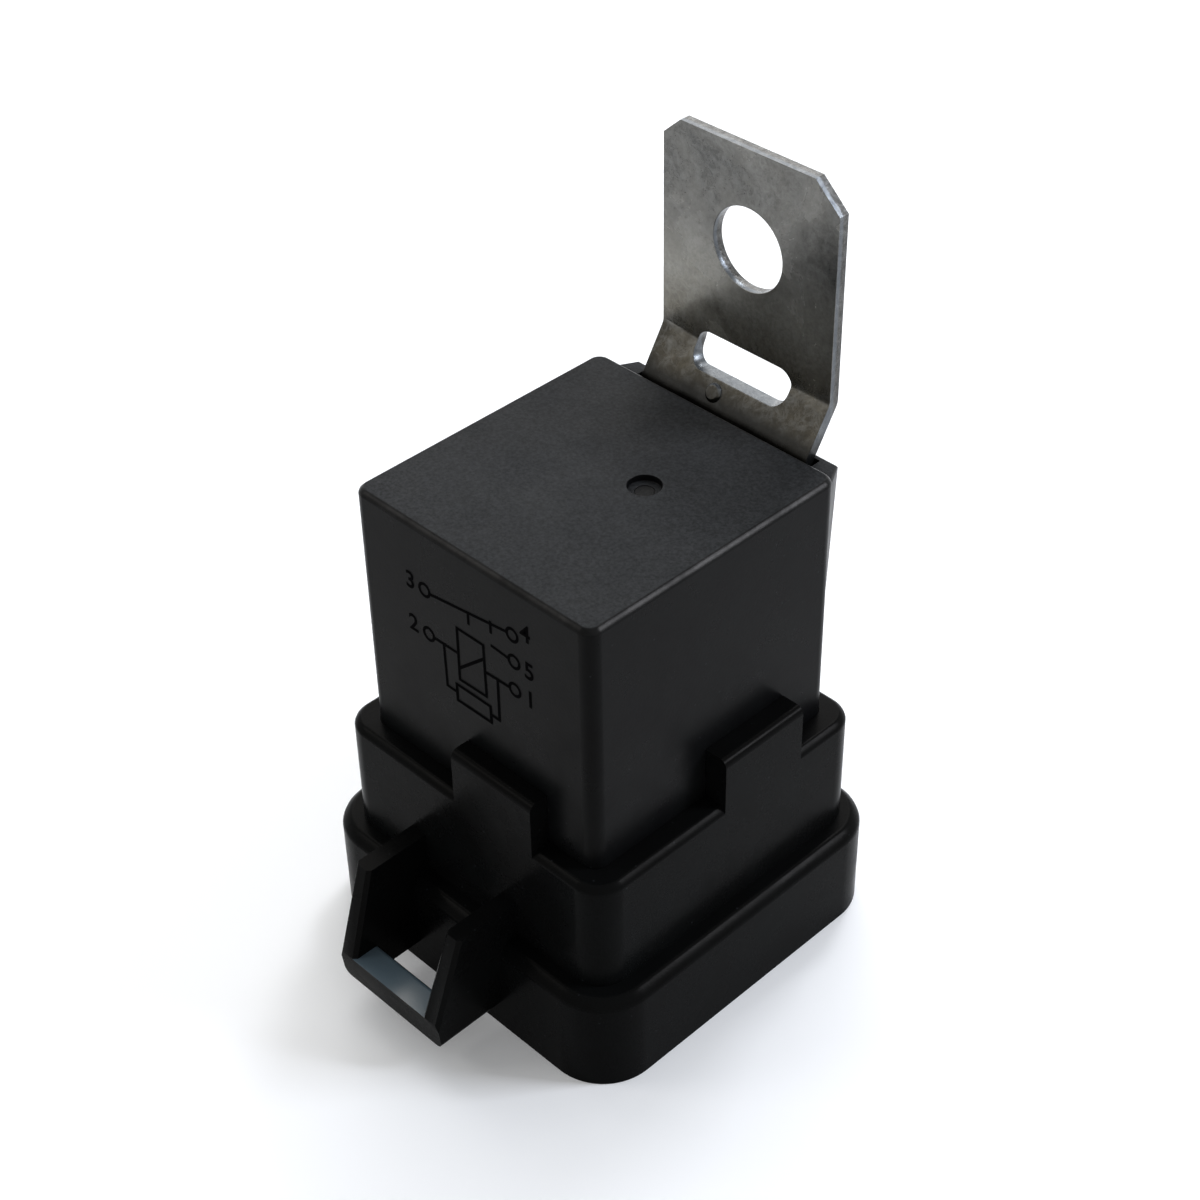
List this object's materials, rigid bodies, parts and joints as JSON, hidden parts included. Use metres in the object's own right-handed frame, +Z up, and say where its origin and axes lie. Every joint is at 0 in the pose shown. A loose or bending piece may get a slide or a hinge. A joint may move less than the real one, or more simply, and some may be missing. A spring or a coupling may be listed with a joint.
{
  "type": "automotive relay",
  "caption": "Weatherproof change-over relay: square black cover in a two-tier skirt with latch loop, blade terminals inside, plated steel mounting bracket.",
  "frame": {"origin": "middle of the plug socket, on the plane of the skirt's lower rim", "axes": "+Z up through the cover, +Y towards the bracket, -Y the printed face with the latch loop, +X to the right of that face"},
  "size_m": [0.0374, 0.0451, 0.0706],
  "materials": {
    "cover_plastic": "satin moulded, fine texture",
    "skirt_plastic": "satin moulded",
    "vent_plug": "porous",
    "zinc_plate": "zinc plated, cloudy",
    "base_plastic": "moulded",
    "resin": "poured resin",
    "tinned_blade": "tin plated",
    "magnet_iron": "plated iron",
    "bobbin_plastic": "natural moulded",
    "copper_winding": "enamelled copper wire",
    "coil_tape": "polyester tape",
    "spring_bronze": "rolled bronze strip",
    "contact_silver": "silver alloy",
    "rivet_steel": "plated steel",
    "resistor_body": "lacquered",
    "tinned_lead": "tinned wire"
  },
  "bodies": {
    "relay": {"cover": "cover_plastic", "vent_plug": "vent_plug", "skirt": "skirt_plastic", "mounting_bracket": "zinc_plate", "base": "base_plastic", "potting_seal": "resin", "terminal_coil_right": "tinned_blade", "terminal_coil_left": "tinned_blade", "terminal_common": "tinned_blade", "terminal_closed": "tinned_blade", "terminal_open": "tinned_blade", "yoke": "magnet_iron", "core": "magnet_iron", "bobbin": "bobbin_plastic", "winding": "copper_winding", "coil_tape": "coil_tape", "coil_wire_right": "copper_winding", "coil_wire_left": "copper_winding", "leaf_foot": "spring_bronze", "contact_closed": "contact_silver", "contact_open": "contact_silver", "foot_rivet_low": "rivet_steel", "foot_rivet_high": "rivet_steel", "resistor": "resistor_body", "resistor_lead_right": "tinned_lead", "resistor_lead_left": "tinned_lead"},
    "armature_group": {"armature": "magnet_iron", "contact_leaf": "spring_bronze", "moving_contact": "contact_silver", "armature_rivet_front": "rivet_steel", "armature_rivet_rear": "rivet_steel"}
  },
  "joints": [
    {"name": "armature_swing", "type": "hinge", "parent": "relay", "child": "armature_group", "pos_m": [0, 0.0099, 0.0408], "axis": [1, 0, 0], "range_deg": [0, 2.2], "stiffness_Nm_per_rad": 0.02, "springref_deg": -2.86}
  ]
}
